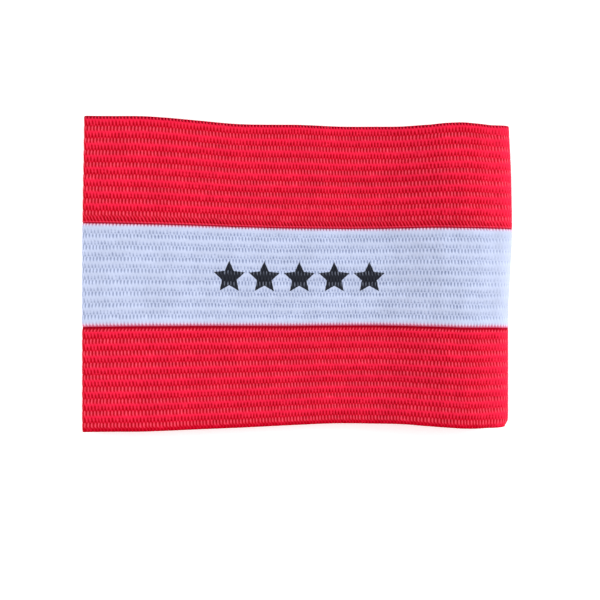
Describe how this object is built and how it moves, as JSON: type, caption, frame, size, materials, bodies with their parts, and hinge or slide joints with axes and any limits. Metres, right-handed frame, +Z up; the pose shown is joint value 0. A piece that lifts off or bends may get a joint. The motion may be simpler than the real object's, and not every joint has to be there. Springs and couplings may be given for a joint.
{
  "type": "captain armband",
  "caption": "Loop of ribbed knitted elastic in red, white and red stripes, laid flat on its side with a sewn crease at one end and a round fold at the other.",
  "frame": {"origin": "under the middle of the part's box, on the surface that the back panel rests on", "axes": "+X along the folded band from the sewn crease to the round fold, +Y across the stripes, +Z up out of the front panel"},
  "size_m": [0.109, 0.0798, 0.014],
  "materials": {
    "red_knit": "ribbed knitted elastic, matt with a light sheen on its yarns",
    "white_knit": "ribbed knitted elastic, cool white, matt"
  },
  "bodies": {
    "root": {"upper_red_stripe": "red_knit", "white_stripe": "white_knit", "lower_red_stripe": "red_knit"}
  },
  "joints": []
}
